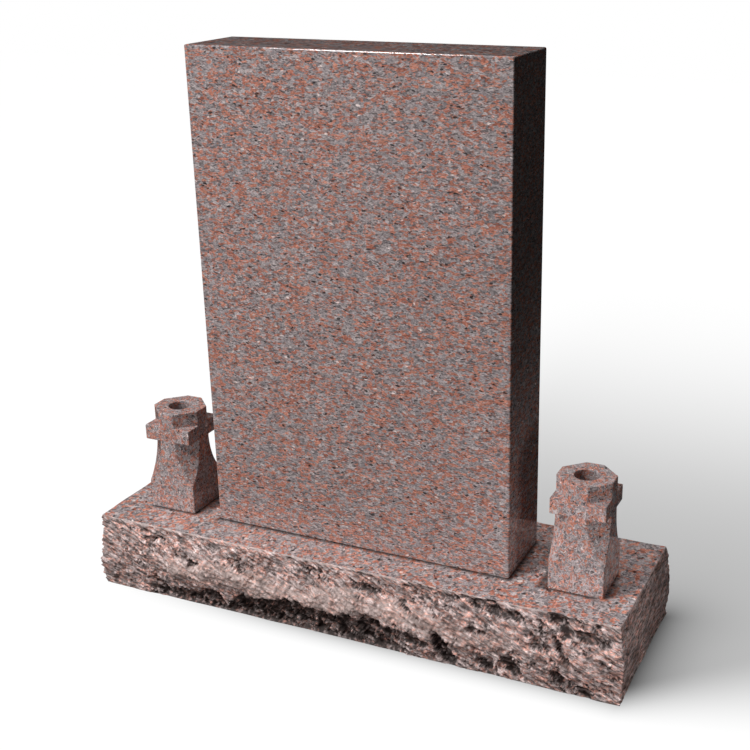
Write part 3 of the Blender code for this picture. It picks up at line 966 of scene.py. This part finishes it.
def rock_relief(point, bulge, foot, scars, front_share):
    """How far the rock face stands out at a point, with its recess and its share of the crest there.

    scars and front_share are the shares that are left there of the chip scars and of the front's own forms.
    """
    crest = 0.0
    recess = 0.0
    drop = BASE_HEIGHT - point.z
    swell = 1 + BULGE_VARIATION * noise.noise(point / BULGE_WAVE)
    relief = bulge * swell * bulge_share(point.z, foot) + PITCH_LINE_WANDER * noise.noise(point / WARP_WAVE)
    warped = point + WARP * noise.noise_vector(point / WARP_WAVE)
    warped += SMALL_WARP * noise.noise_vector(point / SMALL_WARP_WAVE)
    cuts = SCAR_DEPTH * scar_share(warped, SCAR_SIZE) * smoothstep(drop / SCAR_FADE)
    cuts += SMALL_SCAR_DEPTH * scar_share(warped, SMALL_SCAR_SIZE) * smoothstep(drop / SMALL_SCAR_FADE)
    cuts *= scars * smoothstep(point.z / UNDERSIDE_FADE)
    if front_share > 0:
        ridge = front_share * ridge_relief(warped) * smoothstep(drop / SMALL_SCAR_FADE)
        relief += ridge
        crest = ridge / RIDGE_OUT
        recess = hollow_depth(point.lerp(warped, HOLLOW_WARP_SHARE))
        recess += undercut_depth(warped) * between_ribs(point)
        recess *= front_share
    return relief - cuts - SMOOTH_RECESS * recess * smoothstep(point.z / FOOT_RISE), recess, crest


def crack_share(point, side):
    """Share of the cracks at a point of a side: on the front more to the right, and few on the ridge."""
    if side > 0:
        return SIDE_CRACKS[side]
    rightwards = smoothstep((point.x - CRACKS_START) / CRACKS_FADE)
    off_ridge = smoothstep(abs(point.z - RIDGE_HEIGHT) / CRACK_FREE_HALF)
    return SIDE_CRACKS[side] * (CRACKS_LEFT + (1 - CRACKS_LEFT) * rightwards) * off_ridge


def side_value(values, side, from_start, from_end):
    """A side's own value, easing at each corner to the mean of the two sides that meet there."""
    own = values[side]
    before, after = values[side - 1] - own, values[(side + 1) % len(values)] - own
    near_start = 1 - smoothstep(from_start / CORNER_BLEND)
    near_end = 1 - smoothstep(from_end / CORNER_BLEND)
    return own + (before * near_start + after * near_end) / 2


def block_side(side):
    """A side of the sawn block as (start, end), anticlockwise from the front left corner."""
    half_length, half_depth = BASE_LENGTH / 2, BASE_DEPTH / 2
    corners = [
        Vector((-half_length, -half_depth, 0)),
        Vector((half_length, -half_depth, 0)),
        Vector((half_length, half_depth, 0)),
        Vector((-half_length, half_depth, 0)),
    ]
    return corners[side], corners[(side + 1) % 4]


def rock_point(side, share, height):
    """A point of the rock face, the way it is chipped, its cracks, its recess and its crest."""
    start, end = block_side(side)
    run = (end - start).normalized()
    outward = Vector((run.y, -run.x, 0))
    length = (end - start).length
    point = start.lerp(end, share)
    point.z = height
    from_start, from_end = share * length, (1 - share) * length
    bulge = side_value(SIDE_BULGES, side, from_start, from_end)
    foot = side_value(SIDE_FEET, side, from_start, from_end)
    scars = side_value(SIDE_SCARS, side, from_start, from_end)
    front_share = smoothstep(min(from_start, from_end) / FRONT_MARGIN) if side == 0 else 0.0
    pull = max(0.0, 1 - from_end / CORNER_BLEND) ** 2 - max(0.0, 1 - from_start / CORNER_BLEND) ** 2
    direction = outward + run * pull
    relief, recess, crest = rock_relief(point, bulge, foot, scars, front_share)
    chip_share = side_value(SIDE_CHIPS, side, from_start, from_end)
    return point + direction * relief, direction * chip_share, crack_share(point, side), recess, crest


def along_lean(tree, place, lean, width, stretch):
    """A place measured in units of a width, in a grain that runs down to the right and is longer that way."""
    inputs = {"Vector": place, "Angle": calculate(tree, "MULTIPLY", lean, -1.0)}
    turned = add_node(tree, "ShaderNodeVectorRotate", inputs, rotation_type="Y_AXIS").outputs["Vector"]
    length = calculate(tree, "MULTIPLY", width, stretch)
    return calculate_vector(tree, "DIVIDE", turned, combine(tree, length, length, width))


def chips(tree, unit, slope, step):
    """Height of flat-faced chips one unit wide, each tilted its own way and half a step up or down."""
    chip = cells(tree, unit)
    away = calculate_vector(tree, "SUBTRACT", unit, chip["Position"])
    tilt = calculate_vector(tree, "SUBTRACT", chip["Color"], NOISE_MIDDLE)
    dot = add_node(tree, "ShaderNodeVectorMath", {0: away, 1: tilt}, operation="DOT_PRODUCT")
    raised = calculate(tree, "SUBTRACT", separate(tree, chip["Color"])[0], 0.5)
    raised = calculate(tree, "MULTIPLY", raised, step)
    return calculate(tree, "MULTIPLY_ADD", dot.outputs["Value"], slope, raised)


def crumb_tree():
    """Geometry Nodes: break a smooth rock face into chips and cracks, and finish its top and its sides."""
    name = "rock crumb"
    if name in bpy.data.node_groups:
        return bpy.data.node_groups[name]
    inputs = (
        ("Geometry", "NodeSocketGeometry", None),
        ("Chip Width", "NodeSocketFloat", 0.0075),
        ("Chip Slope", "NodeSocketFloat", 1.5),
        ("Crack Width", "NodeSocketFloat", 0.0056),
        ("Crack Depth", "NodeSocketFloat", 0.008),
        ("Dark Depth", "NodeSocketFloat", DARK_DEPTH),
        ("Lean", "NodeSocketFloat", 0.37),
        ("Stretch", "NodeSocketFloat", 5.0),
        ("Edge Fade", "NodeSocketFloat", 0.006),
        ("Base Height", "NodeSocketFloat", BASE_HEIGHT),
        ("Top Finish", "NodeSocketMaterial", None),
        ("Side Finish", "NodeSocketMaterial", None),
    )
    tree, given, result = new_tree(name, "GeometryNodeTree", inputs, (("Geometry", "NodeSocketGeometry"),))
    place = add_node(tree, "GeometryNodeInputPosition").outputs["Position"]
    level = separate(tree, place)[2]

    # The place is bent so that the edges of chips and cracks wander.
    width = given["Chip Width"]
    bent = bent_place(tree, place, width, calculate(tree, "MULTIPLY", width, CHIP_BEND))

    # Chips in two widths
    height = 0.0
    for width_share, slope_share in CHIP_LAYERS:
        chip_width = calculate(tree, "MULTIPLY", width, width_share)
        unit = along_lean(tree, bent, given["Lean"], chip_width, given["Stretch"])
        slope = calculate(tree, "MULTIPLY", given["Chip Slope"], slope_share)
        height = calculate(tree, "MULTIPLY_ADD", chips(tree, unit, slope, CHIP_STEP), chip_width, height)

    # Cracks follow a steeper lean. They are sparse streaks on open rock and close up in the recesses.
    steeper = calculate(tree, "MULTIPLY", given["Lean"], CRACK_LEAN)
    unit = along_lean(tree, bent, steeper, given["Crack Width"], CRACK_STRETCH)
    streak = noise_texture(tree, unit, 1.0, detail=2.0)
    patch = noise_texture(tree, place, CRACK_PATCH, detail=1.0)
    open_share = calculate(tree, "MULTIPLY", stored(tree, "crack_share"), ramp(tree, patch, 0.42, 0.58))
    recess = stored(tree, "recess")
    dark_depths = calculate(tree, "DIVIDE", recess, given["Dark Depth"])
    closed = calculate(tree, "MINIMUM", dark_depths, 1.0)
    likely = calculate(tree, "MULTIPLY_ADD", closed, RECESS_CRACKS, streak)
    likely = calculate(tree, "MULTIPLY_ADD", open_share, OPEN_CRACKS, likely)
    crack = ramp(tree, likely, CRACK_EDGE, CRACK_FULL)
    deep = calculate(tree, "MULTIPLY_ADD", recess, 1.0 - SMOOTH_RECESS, given["Crack Depth"])
    depth = calculate(tree, "SUBTRACT", calculate(tree, "MULTIPLY", crack, deep), height)

    # The relief fades out at the underside, and over a longer height at the pitch line.
    from_top = calculate(tree, "SUBTRACT", given["Base Height"], level)
    top_fade = ramp(tree, from_top, 0.0, calculate(tree, "MULTIPLY", given["Edge Fade"], TOP_FADE))
    fade = calculate(tree, "MULTIPLY", top_fade, ramp(tree, level, 0.0, given["Edge Fade"]))
    raised = calculate(tree, "MULTIPLY", calculate(tree, "MULTIPLY", depth, fade), -1.0)
    offset = scale_vector(tree, stored(tree, "outward", "FLOAT_VECTOR"), raised)
    rock = pass_on(tree, given["Geometry"], "GeometryNodeSetPosition", {"Offset": offset})

    # How far each point lies in a crack or a deep recess is kept for the material, which paints shade there.
    sunk = ramp(tree, dark_depths, 0.0, SUNK_DEPTHS, 0.0, SUNK_SHADE)
    kept = {"Name": "shade", "Value": calculate(tree, "ADD", crack, sunk)}
    rock = pass_on(tree, rock, "GeometryNodeStoreNamedAttribute", kept, data_type="FLOAT", domain="POINT")
    for spent in ("outward", "crack_share", "recess"):
        rock = pass_on(tree, rock, "GeometryNodeRemoveAttribute", {"Name": spent})
    rock = pass_on(tree, rock, "GeometryNodeRealizeInstances")
    rock = pass_on(tree, rock, "GeometryNodeSetMaterial", {"Material": given["Side Finish"]})

    # Only the sawn top lies in one plane at the base's full height.
    limits = {"A": level, "B": calculate(tree, "SUBTRACT", given["Base Height"], LEVEL_TOLERANCE)}
    on_top = add_node(tree, "FunctionNodeCompare", limits, data_type="FLOAT", operation="GREATER_THAN")
    finish = {"Selection": on_top.outputs["Result"], "Material": given["Top Finish"]}
    feed(tree, result.inputs["Geometry"], pass_on(tree, rock, "GeometryNodeSetMaterial", finish))
    return tree


class HEADSTONE_OT_base(bpy.types.Operator):
    """Make the rock-pitched base with its polished top"""

    bl_idname = "headstone.add_base"
    bl_label = "Add Base"

    def execute(self, context):
        settings = context.scene.headstone_base
        stone = context.scene.headstone_granite
        noise.seed_set(ROCK_SEED)
        stations = []
        for side, steps in enumerate((settings.long_steps, settings.end_steps) * 2):
            stations += [(side, step / steps) for step in range(steps)]
        points, directions = [], []
        shares = {"crack_share": [], "recess": [], "crest": []}
        for row in range(settings.rows + 1):
            up = row / settings.rows
            height = BASE_HEIGHT * (up + (1 - math.cos(math.pi * up)) / 2) / 2
            for side, along in stations:
                point, direction, *values = rock_point(side, along, height)
                points.append(point)
                directions.extend(direction)
                for share, value in zip(shares.values(), values):
                    share.append(value)
        count = len(stations)
        faces = []
        for row in range(settings.rows):
            for index in range(count):
                after = (index + 1) % count
                low, high = row * count, (row + 1) * count
                faces.append((low + index, low + after, high + after, high + index))
        faces.append(tuple(reversed(range(count))))
        faces.append(tuple(range(settings.rows * count, (settings.rows + 1) * count)))
        base = new_piece("rock_pitched_base", points, faces)
        base.data.polygons[-1].use_smooth = False
        base.data.polygons[-2].use_smooth = False
        base.data.attributes.new("outward", "FLOAT_VECTOR", "POINT").data.foreach_set("vector", directions)
        for name, share in shares.items():
            base.data.attributes.new(name, "FLOAT", "POINT").data.foreach_set("value", share)
        labels = ("Chip Width", "Chip Slope", "Crack Width", "Crack Depth", "Lean", "Stretch", "Edge Fade")
        values = values_of(settings, labels)
        sizes = (stone.grain_length, stone.grain_height, SWIRL)
        # The base's top is a brighter copy of the granite, painted light, with painted contact shade round
        # the stones on it.
        top = polished_granite("polished granite base top", *sizes, painted_gain=TOP_PAINTED_GAIN, paints_contact_shade=True)
        values["Top Finish"] = top
        values["Side Finish"] = pitched_granite("rock pitched granite")
        values["Dark Depth"] = DARK_DEPTH
        values["Base Height"] = BASE_HEIGHT
        shape_with(base, crumb_tree(), values)
        bake_shape(base)
        dress(base, "base")
        return {"FINISHED"}


# Stage


def add_camera():
    """The camera at the photograph's viewing angle."""
    azimuth, elevation, roll = CAMERA_AZIMUTH, CAMERA_ELEVATION, CAMERA_ROLL
    level = math.cos(elevation)
    forward = Vector((-math.sin(azimuth) * level, math.cos(azimuth) * level, -math.sin(elevation)))
    across = Vector((math.cos(azimuth), math.sin(azimuth), 0))
    upward = across.cross(forward)
    right = across * math.cos(roll) + upward * math.sin(roll)
    up = upward * math.cos(roll) - across * math.sin(roll)
    camera = bpy.data.cameras.new("photo_camera")
    camera.sensor_width = SENSOR_WIDTH
    camera.lens = SENSOR_WIDTH * FOCAL_PIXELS / PICTURE_WIDTH
    camera.shift_x = (PICTURE_WIDTH / 2 - VIEW_CENTRE[0]) / PICTURE_WIDTH
    camera.shift_y = (VIEW_CENTRE[1] - PICTURE_WIDTH / 2) / PICTURE_WIDTH
    holder = bpy.data.objects.new("photo_camera", camera)
    bpy.context.scene.collection.objects.link(holder)
    facing = Matrix((right, up, -forward)).transposed().to_4x4()
    holder.matrix_world = Matrix.Translation(CAMERA_PLACE) @ facing
    bpy.context.scene.camera = holder


def add_panel_light(panel, brightness):
    """A square soft light that the camera doesn't see."""
    light = bpy.data.lights.new(panel.name, "AREA")
    light.size = panel.size
    light.energy = panel.power * brightness
    light.spread = math.radians(panel.spread)
    holder = bpy.data.objects.new(panel.name, light)
    bpy.context.scene.collection.objects.link(holder)
    holder.location = panel.place
    holder.rotation_euler = (Vector(panel.aim) - Vector(panel.place)).to_track_quat("-Z", "Y").to_euler()
    holder.visible_glossy = panel.reflects
    holder.visible_camera = False


def add_floor(colour):
    """A pale floor that glows white, with a painted shadow round the base, and gives no light back to the
    stones.
    """
    signs = ((-1, -1), (1, -1), (1, 1), (-1, 1))
    corners = [(x * FLOOR_HALF, y * FLOOR_HALF, -FLOOR_DROP) for x, y in signs]
    floor = new_piece("floor", corners, [(0, 1, 2, 3)], smooth=False)
    material = bpy.data.materials.new("floor paint")
    material.use_nodes = True
    tree = material.node_tree
    shader = tree.nodes["Principled BSDF"]
    shader.inputs["Base Color"].default_value = rgba(colour)
    shader.inputs["Roughness"].default_value = FLOOR_ROUGHNESS
    shader.inputs["Specular IOR Level"].default_value = 0.0
    shader.inputs["Emission Color"].default_value = WHITE

    # Painted shadow: soft shade painted into the floor's glow round the base's footprint, behind it and to
    # its right
    place = add_node(tree, "ShaderNodeTexCoord").outputs["Object"]
    outside = outside_rectangle(tree, place, (BASE_LENGTH / 2, BASE_DEPTH / 2))
    distance = vector_length(tree, outside)
    near = calculate(tree, "EXPONENT", calculate(tree, "DIVIDE", distance, -NEAR_SHADE_REACH))
    far = calculate(tree, "POWER", calculate(tree, "DIVIDE", distance, FAR_SHADE_REACH), 2.0)
    far = calculate(tree, "EXPONENT", calculate(tree, "MULTIPLY", far, -1.0))
    shade = calculate(tree, "MULTIPLY_ADD", near, NEAR_SHADE, calculate(tree, "MULTIPLY", far, FAR_SHADE))
    across, inwards, _ = separate(tree, place)
    beside = separate(tree, outside)[0]
    behind_edge = calculate(tree, "SUBTRACT", inwards, SHADE_EDGE)
    behind_edge = calculate(tree, "MULTIPLY_ADD", beside, -SHADE_EDGE_TURN, behind_edge)
    softness = calculate(tree, "MULTIPLY_ADD", beside, SHADE_EDGE_SPREAD, SHADE_EDGE_SOFTNESS)
    behind_edge = calculate(tree, "DIVIDE", behind_edge, softness)
    for share in (ramp(tree, behind_edge, -0.5, 0.5), ramp(tree, across, SHADE_LEFT, 0.0)):
        shade = calculate(tree, "MULTIPLY", shade, share)
    glow = calculate(tree, "MAXIMUM", calculate(tree, "SUBTRACT", 1.0, shade), 0.0)
    feed(tree, shader.inputs["Emission Strength"], glow)
    floor.data.materials.append(material)
    floor.visible_glossy = False
    floor.visible_diffuse = False


def set_world(ambient):
    """A white surround for the camera and a weak light from all round for the stones."""
    world = bpy.data.worlds.new("studio")
    bpy.context.scene.world = world
    world.use_nodes = True
    tree = world.node_tree
    background = tree.nodes["Background"]
    seen = add_node(tree, "ShaderNodeLightPath").outputs["Is Camera Ray"]
    feed(tree, background.inputs["Strength"], ramp(tree, seen, 0.0, 1.0, ambient, 1.0, smooth=False))
    background.inputs["Color"].default_value = WHITE


class HEADSTONE_OT_stage(bpy.types.Operator):
    """Make the floor, the lights and the camera"""

    bl_idname = "headstone.add_stage"
    bl_label = "Add Stage"

    def execute(self, context):
        settings = context.scene.headstone_stage
        add_camera()
        add_floor(settings.floor_colour)
        for panel in PANELS:
            add_panel_light(panel, settings.brightness)
        set_world(settings.ambient)
        context.scene.view_settings.view_transform = "Standard"
        return {"FINISHED"}


# Sidebar


class HEADSTONE_PT_sidebar(bpy.types.Panel):
    """The headstone's pieces and their settings"""

    bl_idname = "HEADSTONE_PT_sidebar"
    bl_label = "Headstone"
    bl_space_type = "VIEW_3D"
    bl_region_type = "UI"
    bl_category = "Headstone"

    def draw(self, context):
        for owner, operator in (
            ("headstone_granite", None),
            ("headstone_tablet", HEADSTONE_OT_tablet),
            ("headstone_vase", HEADSTONE_OT_vases),
            ("headstone_base", HEADSTONE_OT_base),
            ("headstone_stage", HEADSTONE_OT_stage),
        ):
            box = self.layout.box()
            settings = getattr(context.scene, owner)
            for name in settings.__annotations__:
                box.prop(settings, name)
            if operator:
                box.operator(operator.bl_idname)


SETTINGS = {
    "headstone_tablet": TabletSettings,
    "headstone_vase": VaseSettings,
    "headstone_base": BaseSettings,
    "headstone_granite": GraniteSettings,
    "headstone_stage": StageSettings,
}
CLASSES = (
    *SETTINGS.values(),
    HEADSTONE_OT_tablet,
    HEADSTONE_OT_vases,
    HEADSTONE_OT_base,
    HEADSTONE_OT_stage,
    HEADSTONE_PT_sidebar,
)


def register():
    """Register the classes and give the scene its settings."""
    for item in CLASSES:
        bpy.utils.register_class(item)
    for name, group in SETTINGS.items():
        setattr(bpy.types.Scene, name, PointerProperty(type=group))


def unregister():
    """Take the settings from the scene and unregister the classes."""
    for name in SETTINGS:
        delattr(bpy.types.Scene, name)
    for item in reversed(CLASSES):
        bpy.utils.unregister_class(item)


def main():
    """Make the whole headstone and its stage."""
    register()
    bpy.ops.headstone.add_tablet()
    bpy.ops.headstone.add_vases()
    bpy.ops.headstone.add_base()
    bpy.ops.headstone.add_stage()


if __name__ == "__main__":
    main()
